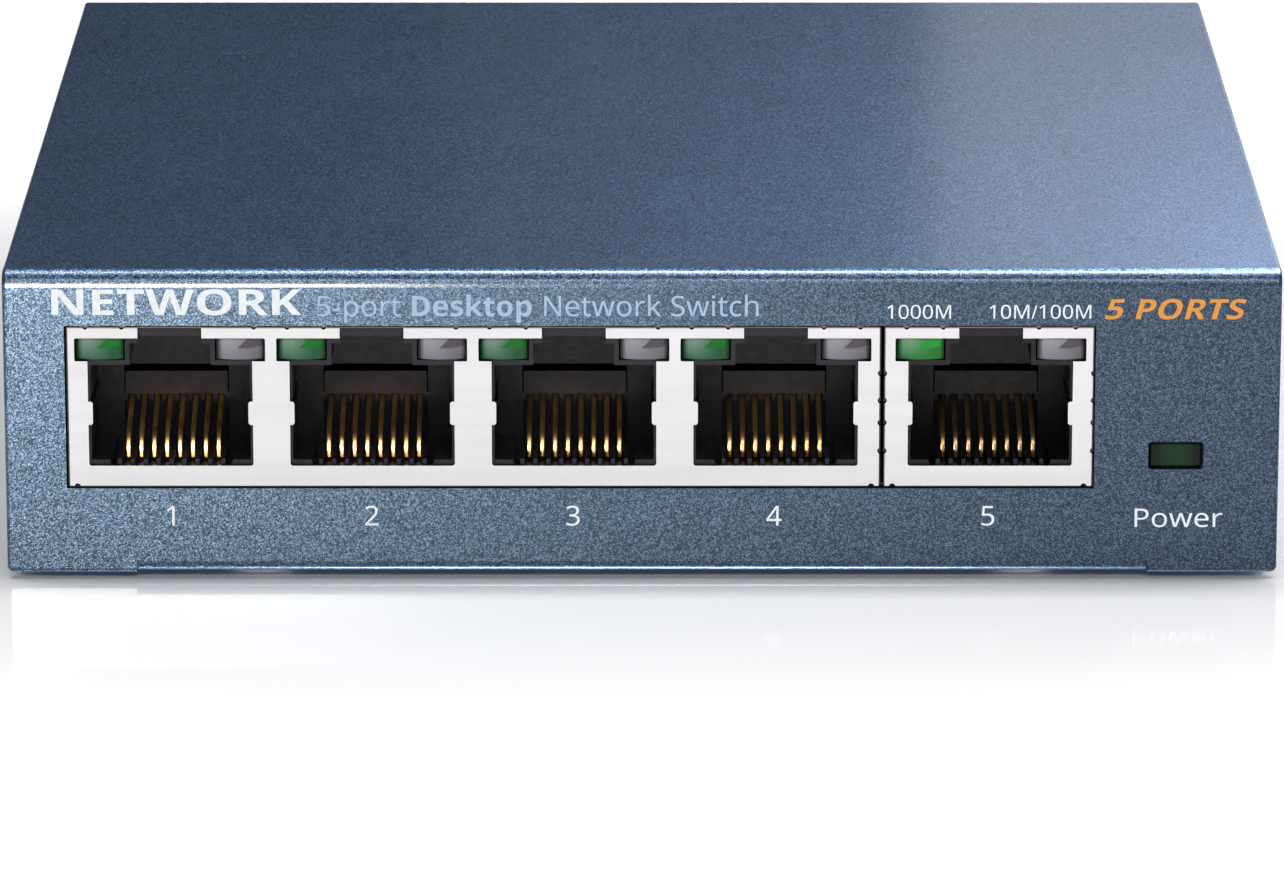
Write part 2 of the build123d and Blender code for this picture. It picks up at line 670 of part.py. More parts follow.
def inductors():
    """Two shielded power coils, each with a ring groove in its top."""
    made = []
    top = BOARD_HIGH + COIL_TALL
    for y in COIL_Y:
        size = (COIL_X - COIL_HALF, COIL_X + COIL_HALF, y - COIL_HALF, y + COIL_HALF)
        coil = block(*size, BOARD_HIGH, top)
        coil = fillet(coil.edges().filter_by(Axis.Z), 1.2)
        ring = upright(2.6, COIL_X, y, top - 0.6, top + 1) - upright(2.1, COIL_X, y, 0, top + 2)
        made.append(coil - ring)
    return made


def electrolytics():
    """Three aluminium cans with a groove near the foot."""
    made = []
    for x, y in CANS:
        can = upright(CAN_R, x, y, BOARD_HIGH, BOARD_HIGH + CAN_TALL)
        can = fillet(can.edges().sort_by(Axis.Z)[-1], 0.5)
        low = BOARD_HIGH + 1.2
        groove = upright(CAN_R + 1, x, y, low, low + 0.5) - upright(CAN_R - 0.3, x, y, 0, TOP)
        made.append(can - groove)
    return made


def small_parts(row_y, spare_x, tall):
    """A row of chip components and a few more, each a small block with raised end caps."""
    places = [(ROW_LEFT + i * ROW_PITCH, row_y) for i in range(ROW_COUNT)]
    places += [(spare_x, y) for y in SPARE_Y]
    made = []
    for x, y in places:
        body = block(x - 0.8, x + 0.8, y - 0.4, y + 0.4, BOARD_HIGH, BOARD_HIGH + tall)
        for side in (-1, 1):
            a, b = x + side * 0.8, x + side * 0.45
            body = body.fuse(block(a, b, y - 0.43, y + 0.43, BOARD_HIGH, BOARD_HIGH + tall + 0.04))
        made.append(body)
    return made


def rating_label():
    """A blank foil label under the tray."""
    label = block(-26, 26, 10, 34, TRAY_LOW - 0.12, TRAY_LOW)
    return fillet(label.edges().filter_by(Axis.Z), 1.5)


os.makedirs("parts", exist_ok=True)
save("top_cover", top_cover())
save("base_tray", base_tray())
save("cover_screws", cover_screws())
save("board_screws", board_screws())
for end, foot_y in (("front", -FOOT_Y), ("rear", FOOT_Y)):
    for hand, foot_x in (("left", -FOOT_X), ("right", FOOT_X)):
        save(f"rubber_foot_{end}_{hand}", rubber_foot(foot_x, foot_y))
save("main_board", main_board())
save("quad_jack_housing", jack_housing(QUAD, PORTS[:4]))
save("quad_jack_shield", jack_shield(QUAD, PORTS[:4], False))
save("single_jack_housing", jack_housing(SINGLE, PORTS[4:]))
save("single_jack_shield", jack_shield(SINGLE, PORTS[4:], True))
for number, port in enumerate(PORTS, 1):
    save(f"port_{number}_contacts", contact_wires(port))
    save(f"port_{number}_tails", contact_tails(port))
    save(f"port_{number}_link_led", port_lamp(port - LAMP_OFF))
    save(f"port_{number}_speed_led", port_lamp(port + LAMP_OFF))
    save(f"magnetics_{number}", chip(port, MAGNETICS_Y, (13.0, 7.0), 0.2, 5.2, 10, 1.27, False))
save("led_leads", lamp_leads())
save("power_led", power_led())
save("power_led_holder", power_led_holder())
save("dc_jack_body", dc_jack_body())
save("dc_jack_centre_pin", dc_jack_centre_pin())
save("dc_jack_spring", dc_jack_spring())
save("dc_jack_terminals", dc_jack_terminals())
save("switch_chip", chip(-2.0, 9.0, (14.0, 14.0), 0.15, 1.55, 22, 0.6, True))
save("thermal_pad", block(-8.0, 4.0, 3.0, 15.0, BOARD_HIGH + 1.55, BOARD_HIGH + 2.0))
save("heatsink", heatsink())
save("memory_chip", chip(-24.0, 12.0, (5.0, 4.0), 0.15, 1.65, 4, 1.27, False))
save("regulator_chip", chip(26.0, 14.0, (5.0, 4.0), 0.15, 1.65, 4, 1.27, False))
save("crystal", crystal())
save("inductors", inductors())
save("electrolytic_capacitors", electrolytics())
save("ceramic_capacitors", small_parts(CAPACITOR_Y, -34.0, 0.8))
save("resistors", small_parts(RESISTOR_Y, -38.0, 0.45))
save("rating_label", rating_label())
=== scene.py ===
"""Looks for the desktop network switch: materials, printed ink, floor, lights and camera."""

import json
import math

import bpy
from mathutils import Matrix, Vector

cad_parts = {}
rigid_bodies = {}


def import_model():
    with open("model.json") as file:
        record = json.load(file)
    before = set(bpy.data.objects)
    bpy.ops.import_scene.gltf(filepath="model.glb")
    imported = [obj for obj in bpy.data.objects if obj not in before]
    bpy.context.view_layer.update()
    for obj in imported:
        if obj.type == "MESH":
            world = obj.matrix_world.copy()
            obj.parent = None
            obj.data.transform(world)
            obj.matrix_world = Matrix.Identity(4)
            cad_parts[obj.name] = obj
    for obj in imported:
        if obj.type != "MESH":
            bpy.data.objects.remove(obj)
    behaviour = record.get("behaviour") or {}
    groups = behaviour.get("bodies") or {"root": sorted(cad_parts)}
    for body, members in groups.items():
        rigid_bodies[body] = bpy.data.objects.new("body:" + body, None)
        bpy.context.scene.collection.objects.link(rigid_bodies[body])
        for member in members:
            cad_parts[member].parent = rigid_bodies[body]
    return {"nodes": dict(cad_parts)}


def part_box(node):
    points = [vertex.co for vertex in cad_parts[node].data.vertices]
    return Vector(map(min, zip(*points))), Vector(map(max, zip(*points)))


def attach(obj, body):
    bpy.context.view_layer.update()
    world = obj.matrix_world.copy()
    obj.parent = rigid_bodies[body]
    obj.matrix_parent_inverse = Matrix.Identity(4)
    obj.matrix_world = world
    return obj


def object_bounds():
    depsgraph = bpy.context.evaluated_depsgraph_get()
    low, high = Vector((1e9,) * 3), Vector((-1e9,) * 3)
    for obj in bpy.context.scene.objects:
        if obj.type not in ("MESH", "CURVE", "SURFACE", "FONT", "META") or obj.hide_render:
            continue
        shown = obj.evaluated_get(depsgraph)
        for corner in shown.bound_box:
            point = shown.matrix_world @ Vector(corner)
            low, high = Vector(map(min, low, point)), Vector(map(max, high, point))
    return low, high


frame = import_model()
CAD_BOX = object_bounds()
NODES = frame["nodes"]
MM = 0.001
CASE = "case"
PORTS = range(1, 6)
LAST_PORT = PORTS[-1]


# ---------------------------------------------------------------- shader helpers


class Shader:
    """A Principled material under construction. Texture scales are in features a metre."""

    def __init__(self, name, **sockets):
        self.material = bpy.data.materials.new(name)
        self.material.use_nodes = True
        self.tree = self.material.node_tree
        self.main = self.tree.nodes["Principled BSDF"]
        self.place = None
        for key, value in sockets.items():
            self.feed(self.main.inputs[key.replace("_", " ")], value)

    def feed(self, socket, value):
        """A value or another node's output into a socket; a colour is given its alpha."""
        if isinstance(value, bpy.types.NodeSocket):
            self.tree.links.new(value, socket)
        elif socket.type == "RGBA":
            socket.default_value = (*value, 1.0)
        else:
            socket.default_value = value

    def node(self, kind, inputs=None, **settings):
        """A node with its settings and inputs."""
        made = self.tree.nodes.new(kind)
        for key, value in settings.items():
            setattr(made, key, value)
        for key, value in (inputs or {}).items():
            self.feed(made.inputs[key], value)
        return made

    def where(self):
        """Position in the row frame."""
        if self.place is None:
            self.place = self.node("ShaderNodeTexCoord").outputs["Object"]
        return self.place

    def axes(self):
        """That position's X, Y and Z outputs."""
        return self.node("ShaderNodeSeparateXYZ", {"Vector": self.where()}).outputs

    def noise(self, scale, detail=2.0, rough=0.5, stretch=None):
        """Fractal noise, optionally stretched along the axes."""
        where = self.where()
        if stretch:
            where = self.node("ShaderNodeMapping", {"Vector": where, "Scale": stretch}).outputs[0]
        inputs = {"Vector": where, "Scale": scale, "Detail": detail, "Roughness": rough}
        return self.node("ShaderNodeTexNoise", inputs).outputs["Fac"]

    def cells(self, scale):
        """One random colour a cell."""
        inputs = {"Vector": self.where(), "Scale": scale}
        return self.node("ShaderNodeTexVoronoi", inputs).outputs["Color"]

    def maths(self, operation, *values):
        """Arithmetic on numbers."""
        inputs = dict(enumerate(values))
        return self.node("ShaderNodeMath", inputs, operation=operation).outputs[0]

    def vector(self, operation, *values):
        """Arithmetic on vectors."""
        inputs = dict(enumerate(values))
        return self.node("ShaderNodeVectorMath", inputs, operation=operation).outputs[0]

    def spread(self, value, low, high, new_low=0.0, new_high=1.0):
        """A value moved from one range to another, held at its ends."""
        names = ("Value", "From Min", "From Max", "To Min", "To Max")
        inputs = dict(zip(names, (value, low, high, new_low, new_high)))
        return self.node("ShaderNodeMapRange", inputs).outputs[0]

    def ramp(self, value, *stops):
        """A colour from a value, through (position, colour) stops."""
        made = self.node("ShaderNodeValToRGB", {"Fac": value})
        ramp = made.color_ramp
        for index, (position, colour) in enumerate(stops):
            stop = ramp.elements[index] if index < 2 else ramp.elements.new(position)
            stop.position = position
            stop.color = (*colour, 1.0)
        return made.outputs["Color"]

    def blend(self, amount, first, second):
        """Two colours mixed."""
        inputs = {"Factor": amount, 6: first, 7: second}
        return self.node("ShaderNodeMix", inputs, data_type="RGBA").outputs[2]

    def link(self, output, name):
        """An output joined to one of the shader's own inputs."""
        self.tree.links.new(output, self.main.inputs[name])

    def mottle(self, noise, low, high, ends=(0.3, 0.7)):
        """A base colour that drifts between two tones."""
        self.link(self.ramp(noise, (ends[0], low), (ends[1], high)), "Base Color")

    def wear(self, noise, low, high):
        """A roughness that drifts between two values."""
        self.link(self.spread(noise, 0.3, 0.7, low, high), "Roughness")

    def bump(self, height, distance, strength=1.0):
        """Relief of that height in metres, over any relief already there."""
        inputs = {"Height": height, "Distance": distance, "Strength": strength}
        made = self.node("ShaderNodeBump", inputs)
        old = self.main.inputs["Normal"]
        if old.is_linked:
            self.tree.links.new(old.links[0].from_socket, made.inputs["Normal"])
        self.link(made.outputs[0], "Normal")


# ---------------------------------------------------------------- materials

FLAKE_CELLS = 12500.0
FLAKE_TILT = 0.16
CLOUD_SCALE = 8000.0
CLOUD_SHARE = 0.22


def flake_paint(name, dark, mid, light):
    """Metallic enamel: fine flakes, each with its own tilt and brightness, over a dark blue ground."""
    s = Shader(name, Metallic=0.92, Roughness=0.42, Coat_Weight=0.6, Coat_Roughness=0.16)
    s.feed(s.main.inputs["Specular Tint"], (0.70, 0.76, 1.0))
    flakes = s.cells(FLAKE_CELLS)
    shade = s.node("ShaderNodeSeparateColor", {"Color": flakes}).outputs["Red"]
    mixed = s.blend(CLOUD_SHARE, shade, s.noise(CLOUD_SCALE, 3.0, 0.7))
    s.link(s.ramp(mixed, (0.16, dark), (0.5, mid), (0.84, light)), "Base Color")
    tilt = s.vector("SUBTRACT", flakes, (0.5, 0.5, 0.5))
    scaled = {0: tilt, "Scale": FLAKE_TILT}
    tilt = s.node("ShaderNodeVectorMath", scaled, operation="SCALE").outputs[0]
    flat = s.node("ShaderNodeNewGeometry").outputs["Normal"]
    s.link(s.vector("NORMALIZE", s.vector("ADD", flat, tilt)), "Normal")
    s.bump(s.noise(700.0), 0.01 * MM, 0.12)
    s.wear(s.noise(120.0, 3.0), 0.405, 0.435)
    return s.material


RIM = 0.09 * MM
RIM_FADE = 0.03 * MM
FACE_DEPTH = 0.05 * MM
FACE_FADE = 0.05 * MM


def tin_plate(name, node):
    """Bright tinned steel with a faint rolled grain, with painted shade behind its face, at its sides and
    at its foot, and a brassy painted reflection along its cut top."""
    low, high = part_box(node)
    s = Shader(name, Metallic=1.0, Roughness=0.15)
    grain = s.noise(900.0, 4.0, 0.6, (0.06, 1.0, 1.0))
    bright = s.ramp(grain, (0.3, (0.77, 0.755, 0.76)), (0.7, (0.83, 0.815, 0.825)))
    # Painted shade: a dark tone for the plate behind its face, at its sides and at its foot
    painted_shade_tone = s.ramp(grain, (0.3, (0.05, 0.045, 0.04)), (0.7, (0.09, 0.08, 0.07)))
    # Painted reflection: a brassy tone along the plate's cut top
    painted_reflection_tone = s.ramp(grain, (0.3, (0.20, 0.16, 0.075)), (0.7, (0.30, 0.25, 0.13)))
    axes = s.axes()
    face = low.y + FACE_DEPTH
    colour = s.blend(s.spread(axes["Y"], face, face + FACE_FADE), bright, painted_shade_tone)
    for axis, edge, way in (("X", low.x, 1.0), ("X", high.x, -1.0), ("Z", low.z, 1.0)):
        inside = s.spread(axes[axis], edge + way * RIM, edge + way * (RIM + RIM_FADE))
        colour = s.blend(inside, painted_shade_tone, colour)
    above = s.spread(axes["Z"], high.z - RIM - RIM_FADE, high.z - RIM)
    s.link(s.blend(above, colour, painted_reflection_tone), "Base Color")
    s.wear(s.noise(300.0, 3.0), 0.12, 0.2)
    s.bump(grain, 0.004 * MM, 0.4)
    return s.material


def moulded_plastic(name, colour, roughness=0.48):
    """Black thermoplastic with a fine spark-eroded texture."""
    s = Shader(name, Roughness=roughness)
    s.mottle(s.noise(600.0, 4.0, 0.6), colour, tuple(c * 2.0 for c in colour), (0.3, 0.75))
    s.wear(s.noise(1500.0, 3.0), roughness - 0.06, roughness + 0.08)
    s.bump(s.noise(4200.0, 2.0, 0.6), 0.03 * MM, 0.8)
    return s.material


def plated_metal(name, low, high, roughness):
    """Plated or plain metal with soft tarnish."""
    s = Shader(name, Metallic=1.0, Roughness=roughness)
    s.mottle(s.noise(500.0, 4.0, 0.6), low, high)
    s.wear(s.noise(900.0, 3.0), roughness - 0.05, roughness + 0.08)
    s.bump(s.noise(2500.0, 3.0), 0.004 * MM, 0.12)
    return s.material


def foot_rubber():
    """Matt black rubber with a dusty bloom."""
    s = Shader("foot_rubber", Roughness=0.85)
    bloom = s.noise(350.0, 5.0, 0.65)
    s.mottle(bloom, (0.018, 0.018, 0.019), (0.05, 0.05, 0.05), (0.35, 0.75))
    s.bump(s.noise(2600.0, 3.0), 0.03 * MM, 0.6)
    return s.material


def board_laminate():
    """Green solder mask with tracks showing through it."""
    s = Shader("board_laminate", Roughness=0.3, Coat_Weight=0.4)
    inputs = {
        "Vector": s.where(),
        "Scale": 240.0,
        "Mortar Size": 0.03,
        "Color1": (0.008, 0.10, 0.045),
        "Color2": (0.010, 0.12, 0.050),
        "Mortar": (0.03, 0.21, 0.09),
    }
    tracks = s.node("ShaderNodeTexBrick", inputs)
    s.link(tracks.outputs["Color"], "Base Color")
    s.bump(tracks.outputs["Fac"], 0.03 * MM, 0.5)
    s.bump(s.noise(1800.0), 0.006 * MM, 0.4)
    return s.material


# The painted shade of the die cup (the leaf) in a lens, in shares of its width and height: above a shallow
# bowl, below a slanting line
BOWL_MIDDLE = 0.60
BOWL_CURVE = 0.8
BOWL_LOW = 0.53
SLANT_RISE = 2.2
SLANT_START = -0.40


def lens(name, node, edge, highlight_top, highlight_low, body, cup_shade):
    """Tinted lamp lens, with a painted highlight to the left, lighter at the top, and painted shade of its
    die cup at the upper right and at both edges.
    """
    low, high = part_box(node)
    s = Shader(name, Roughness=0.10, IOR=1.5, Specular_IOR_Level=0.15)
    axes = s.axes()
    across = s.spread(axes["X"], low.x, high.x)
    up = s.spread(axes["Z"], low.z, high.z)
    # Painted highlight over the left part of the lens, lighter towards the top
    painted_highlight = s.ramp(up, (0.05, highlight_low), (0.85, highlight_top))
    face = s.blend(s.spread(across, 0.30, 0.75), painted_highlight, body)
    # Painted shade of the die cup at the upper right
    off = s.maths("SUBTRACT", across, BOWL_MIDDLE)
    bowl = s.maths("MULTIPLY_ADD", s.maths("MULTIPLY", off, off), BOWL_CURVE, BOWL_LOW)
    slant = s.maths("MULTIPLY_ADD", across, SLANT_RISE, SLANT_START)
    inside = s.maths("MINIMUM", s.maths("SUBTRACT", up, bowl), s.maths("SUBTRACT", slant, up))
    face = s.blend(s.spread(inside, -0.02, 0.06), face, cup_shade)
    # Painted shade along the lens's left and right edges
    face = s.blend(s.spread(across, 0.03, 0.13), edge, face)
    s.link(s.blend(s.spread(across, 0.90, 0.99), face, edge), "Base Color")
    s.wear(s.noise(900.0), 0.07, 0.14)
    s.bump(s.noise(1500.0), 0.003 * MM, 0.3)
    return s.material


def power_lens():
    """Dark green window with a painted highlight in its middle."""
    low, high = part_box("power_led")
    s = Shader("power_lens", Roughness=0.2, IOR=1.5, Specular_IOR_Level=0.2)
    middle = (low.x + high.x) / 2
    off = s.maths("ABSOLUTE", s.maths("SUBTRACT", s.axes()["X"], middle))
    # Painted highlight: paler towards the middle of the window
    near = s.spread(off, 0.2 * MM, 1.6 * MM, 1.0, 0.0)
    s.mottle(near, (0.004, 0.011, 0.006), (0.005, 0.046, 0.014), (0.0, 0.7))
    s.bump(s.noise(1600.0), 0.004 * MM, 0.4)
    return s.material


def chip_epoxy():
    """Moulded chip bodies."""
    s = Shader("chip_epoxy", Roughness=0.55)
    s.mottle(s.noise(1200.0, 4.0), (0.014, 0.014, 0.015), (0.035, 0.035, 0.037))
    s.bump(s.noise(6000.0), 0.01 * MM, 0.6)
    return s.material


def soft_pad():
    """Grey heat pad."""
    s = Shader("soft_pad", Roughness=0.8)
    s.mottle(s.noise(900.0, 4.0), (0.30, 0.32, 0.34), (0.42, 0.44, 0.46))
    s.bump(s.noise(3000.0, 3.0), 0.02 * MM, 0.5)
    return s.material


def fired_ceramic(name, low, high):
    """Ferrite coils, chip capacitors and chip resistors."""
    s = Shader(name, Roughness=0.4)
    s.mottle(s.noise(2500.0, 3.0), low, high)
    s.bump(s.noise(6000.0), 0.006 * MM, 0.4)
    return s.material


def label_foil():
    """Blank silver-grey label."""
    s = Shader("label_foil", Metallic=0.3, Roughness=0.45)
    s.mottle(s.noise(250.0, 4.0), (0.40, 0.41, 0.42), (0.50, 0.51, 0.52))
    s.bump(s.noise(1800.0, 3.0), 0.006 * MM, 0.4)
    return s.material


def ink(name, colour):
    """Silk-screen ink, a little uneven over the flakes below it."""
    s = Shader(name, Roughness=0.5)
    worn = tuple(c * 0.86 for c in colour)
    s.mottle(s.noise(4500.0, 3.0, 0.7), worn, colour, (0.30, 0.55))
    s.bump(s.noise(4500.0), 0.006 * MM, 0.4)
    return s.material


# ---------------------------------------------------------------- CAD nodes

COVER_TONES = ((0.004, 0.012, 0.021), (0.016, 0.034, 0.063), (0.090, 0.144, 0.245))
TRAY_TONES = ((0.010, 0.019, 0.031), (0.035, 0.060, 0.100), (0.125, 0.185, 0.290))
# Lens tones: the body is the lens's own tint; the others are painted light: shade at the edges, a highlight
# over the top and left, and the shade of the die cup
GREEN = {
    "edge": (0.006, 0.055, 0.012),
    "highlight_top": (0.25, 0.39, 0.29),
    "highlight_low": (0.07, 0.20, 0.13),
    "body": (0.025, 0.135, 0.050),
    "cup_shade": (0.014, 0.22, 0.026),
}
# The same green lens in lighter tones: a painted lit copy for the last port
LIT_GREEN = {
    "edge": (0.006, 0.07, 0.010),
    "highlight_top": (0.20, 0.46, 0.24),
    "highlight_low": (0.045, 0.26, 0.07),
    "body": (0.025, 0.250, 0.040),
    "cup_shade": (0.030, 0.42, 0.045),
}
CLEAR = {
    "edge": (0.06, 0.045, 0.045),
    "highlight_top": (0.44, 0.43, 0.48),
    "highlight_low": (0.29, 0.28, 0.33),
    "body": (0.26, 0.235, 0.26),
    "cup_shade": (0.13, 0.115, 0.145),
}


def paint_nodes(names, material):
    """One material on several CAD nodes."""
    for name in names:
        node = NODES[name]
        node.data.materials.clear()
        node.data.materials.append(material)


def numbered(pattern):
    """Node names for every port."""
    return [pattern.format(number) for number in PORTS]


gold = plated_metal("gold_flash", (0.66, 0.41, 0.16), (0.76, 0.51, 0.23), 0.34)
# Painted shade: a darker copy of the gold flash, for the last port's contacts
shaded_gold = plated_metal("shaded_gold_flash", (0.40, 0.27, 0.13), (0.48, 0.35, 0.19), 0.34)
tinned = plated_metal("tinned_leads", (0.62, 0.61, 0.60), (0.80, 0.79, 0.78), 0.30)
nickel = plated_metal("nickel_plate", (0.66, 0.64, 0.60), (0.80, 0.78, 0.75), 0.2)
zinc = plated_metal("zinc_plate", (0.42, 0.42, 0.43), (0.62, 0.62, 0.63), 0.34)
aluminium = plated_metal("plain_aluminium", (0.66, 0.67, 0.68), (0.82, 0.83, 0.84), 0.36)
black = moulded_plastic("black_moulding", (0.014, 0.012, 0.016))
# Painted shade: a darker copy of the black moulding, for the last port's housing
shaded_black = moulded_plastic("shaded_black_moulding", (0.005, 0.0045, 0.006))
inlet_black = moulded_plastic("inlet_moulding", (0.010, 0.010, 0.011), 0.4)
ferrite = fired_ceramic("ferrite", (0.03, 0.03, 0.032), (0.06, 0.06, 0.062))
capacitor = fired_ceramic("capacitor_ceramic", (0.30, 0.20, 0.12), (0.42, 0.30, 0.19))
resistor = fired_ceramic("resistor_glaze", (0.015, 0.015, 0.018), (0.035, 0.035, 0.04))

paint_nodes(["top_cover"], flake_paint("flake_enamel", *COVER_TONES))
paint_nodes(["base_tray"], flake_paint("tray_enamel", *TRAY_TONES))
for row in ("quad", "single"):
    paint_nodes([f"{row}_jack_shield"], tin_plate(f"{row}_tinned_steel", f"{row}_jack_shield"))
paint_nodes(["quad_jack_housing", "power_led_holder"], black)
# The last port's housing takes the darker copy of the moulding, a painted shade
paint_nodes(["single_jack_housing"], shaded_black)
paint_nodes(["dc_jack_body"], inlet_black)
paint_nodes(numbered("port_{}_contacts") + numbered("port_{}_tails"), gold)
# The last port's contacts take the darker copy of the gold, a painted shade
paint_nodes([f"port_{LAST_PORT}_contacts"], shaded_gold)
paint_nodes(["led_leads", "dc_jack_terminals"], tinned)
paint_nodes(["dc_jack_centre_pin", "dc_jack_spring"], nickel)
paint_nodes(["cover_screws", "board_screws"], zinc)
paint_nodes(["heatsink", "electrolytic_capacitors", "crystal"], aluminium)
paint_nodes([name for name in NODES if name.startswith("rubber_foot")], foot_rubber())
paint_nodes(["main_board"], board_laminate())
chips = numbered("magnetics_{}") + ["switch_chip", "memory_chip", "regulator_chip"]
paint_nodes(chips, chip_epoxy())
paint_nodes(["thermal_pad"], soft_pad())
paint_nodes(["inductors"], ferrite)
paint_nodes(["ceramic_capacitors"], capacitor)
paint_nodes(["resistors"], resistor)
paint_nodes(["rating_label"], label_foil())
paint_nodes(["power_led"], power_lens())
for number in PORTS:
    # The last port's green lens gets the painted lit tones
    tones = LIT_GREEN if number == LAST_PORT else GREEN
    node = f"port_{number}_link_led"
    paint_nodes([node], lens(f"green_lens_{number}", node, **tones))
    node = f"port_{number}_speed_led"
    paint_nodes([node], lens(f"clear_lens_{number}", node, **CLEAR))


# ---------------------------------------------------------------- printed ink

FRONT = CAD_BOX[0].y
INK_PROUD = 0.010 * MM

# Code points of capital A, small a and digit 0 among the built-in font's sans letters
LIGHT_STARTS = (0x1D5A0, 0x1D5BA, 0x1D7E2)
BOLD_STARTS = (0x1D5D4, 0x1D5EE, 0x1D7EC)
SANS_ONE = chr(LIGHT_STARTS[2] + 1)
# A letter the font lacks comes out empty or as a plain box, with few points
FEWEST_POINTS = 10
# Height of a capital as a share of the letters' size
PLAIN_CAP = 0.682
SANS_CAP = 0.714

white_ink = ink("white_ink", (0.84, 0.87, 0.90))
blue_ink = ink("pale_blue_ink", (0.375, 0.535, 0.72))
orange_ink = ink("orange_ink", (0.76, 0.31, 0.047))


def outline(words, lean=0.0):
    """A flat mesh of the words, about one unit tall."""
    curve = bpy.data.curves.new("words", "FONT")
    curve.body = words
    curve.shear = lean
    piece = bpy.data.objects.new("words", curve)
    bpy.context.collection.objects.link(piece)
    bpy.context.view_layer.update()
    shown = piece.evaluated_get(bpy.context.evaluated_depsgraph_get())
    mesh = bpy.data.meshes.new_from_object(shown)
    bpy.data.objects.remove(piece)
    return mesh


SANS_FOUND = len(outline(SANS_ONE).vertices) > FEWEST_POINTS
CAP = SANS_CAP if SANS_FOUND else PLAIN_CAP


def sans(words, bold=False):
    """The words in the built-in font's light or bold sans letters, where it has them."""
    starts = BOLD_STARTS if bold else LIGHT_STARTS
    letters = []
    for letter in words:
        kinds = (letter.isupper(), letter.islower(), letter.isdigit())
        if True in kinds and SANS_FOUND:
            kind = kinds.index(True)
            letter = chr(ord(letter) - ord("Aa0"[kind]) + starts[kind])
        letters.append(letter)
    return "".join(letters)


def printed(name, words, material, middle, width, base, cap, lean=0.0):
    """Words on the front face, centred on X; with no width they keep their own proportions."""
    mesh = outline(words, lean)
    xs = [v.co.x for v in mesh.vertices]
    centre, own = (min(xs) + max(xs)) / 2, max(xs) - min(xs)
    tall = cap / CAP
    wide = width / own if width else tall
    for v in mesh.vertices:
        x, z = middle + (v.co.x - centre) * wide, base + v.co.y * tall
        v.co = Vector((x, FRONT - INK_PROUD, z))
    mesh.materials.append(material)
    made = bpy.data.objects.new(name, mesh)
    bpy.context.collection.objects.link(made)
    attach(made, CASE)


def middle_of(node):
    """X of a node's middle."""
    low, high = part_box(node)
    return (low.x + high.x) / 2


LOW_LINE = 4.25 * MM
NUMBER_LINE = LOW_LINE + 0.12 * MM
HIGH_LINE = 21.4 * MM
SPEED_LINE = HIGH_LINE - 0.2 * MM
COUNT_LINE = HIGH_LINE - 0.25 * MM
TITLE_LINE = 21.5 * MM
NUMBER_CAP = 1.6 * MM
POWER_CAP = 1.5 * MM
SPEED_CAP = 1.1 * MM
TITLE_CAP = 2.05 * MM
KIND_CAP = 1.62 * MM
COUNT_LEAN = 0.22

shields_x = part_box("quad_jack_shield")[0].x
last_x = middle_of(f"port_{LAST_PORT}_contacts")
power_x = middle_of("power_led")
for number in PORTS:
    number_x = middle_of(f"port_{number}_contacts") - 0.1 * MM
    digit = sans(str(number))
    printed(f"print_port_{number}", digit, white_ink, number_x, None, NUMBER_LINE, NUMBER_CAP)
kind = sans("5-port ") + sans("Desktop ", True) + sans("Network Switch")
for name, words, material, middle, width, base, cap, lean in (
    ("power", sans("Power"), white_ink, power_x + 0.3 * MM, 6.9, LOW_LINE, POWER_CAP, 0.0),
    ("gigabit", sans("1000M"), white_ink, last_x - 5.65 * MM, 4.98, SPEED_LINE, SPEED_CAP, 0.0),
    ("megabit", sans("10M/100M"), white_ink, last_x + 3.82 * MM, 7.95, SPEED_LINE, SPEED_CAP, 0.0),
    ("title", sans("NETWORK", True), white_ink, shields_x + 8.68 * MM, 19.5, TITLE_LINE, TITLE_CAP, 0.0),
    ("kind", kind, blue_ink, shields_x + 36.9 * MM, 34.5, HIGH_LINE, KIND_CAP, 0.0),
    ("ports", sans("5 PORTS", True), orange_ink, power_x - 0.2 * MM, 11.1, COUNT_LINE, KIND_CAP, COUNT_LEAN),
):
    printed(f"print_{name}", words, material, middle, width * MM, base, cap, lean)


# ---------------------------------------------------------------- floor and surroundings

FLOOR_SIZE = 8.0
# How far around the case the floor stays glossy and carries its painted shade
GLOSS_AND_SHADE_REACH = 42 * MM


def floor():
    """A pale card, glossy near the case and a little darker there with painted shade, and clear from below
    so that the underside can be seen.
    """
    bpy.ops.mesh.primitive_plane_add(size=FLOOR_SIZE, location=(0, 0, 0))
    plane = bpy.context.object
    plane.name = "floor"
    s = Shader("floor_card", Roughness=0.05, Specular_IOR_Level=0.4)
    # Painted shade: near the case the card is a little darker than the matt card further off
    s.mottle(s.noise(6.0), (0.88, 0.88, 0.885), (0.90, 0.90, 0.905))
    out = s.vector("SUBTRACT", s.vector("ABSOLUTE", s.where()), CAD_BOX[1])
    out = s.vector("MAXIMUM", out, (0.0, 0.0, 0.0))
    away = s.node("ShaderNodeVectorMath", {0: out}, operation="LENGTH").outputs["Value"]
    reach = {"Value": away, "From Min": 0.0, "From Max": GLOSS_AND_SHADE_REACH}
    fade = s.node("ShaderNodeMapRange", reach, interpolation_type="SMOOTHSTEP")
    matt = s.node("ShaderNodeBsdfDiffuse", {"Color": (0.96, 0.96, 0.96)})
    card = s.node("ShaderNodeMixShader", {0: fade.outputs[0], 1: s.main.outputs[0], 2: matt.outputs[0]})
    clear = s.node("ShaderNodeBsdfTransparent")
    behind = s.node("ShaderNodeNewGeometry").outputs["Backfacing"]
    mix = s.node("ShaderNodeMixShader", {0: behind, 1: card.outputs[0], 2: clear.outputs[0]})
    s.tree.links.new(mix.outputs[0], s.tree.nodes["Material Output"].inputs["Surface"])
    plane.data.materials.append(s.material)
    return plane


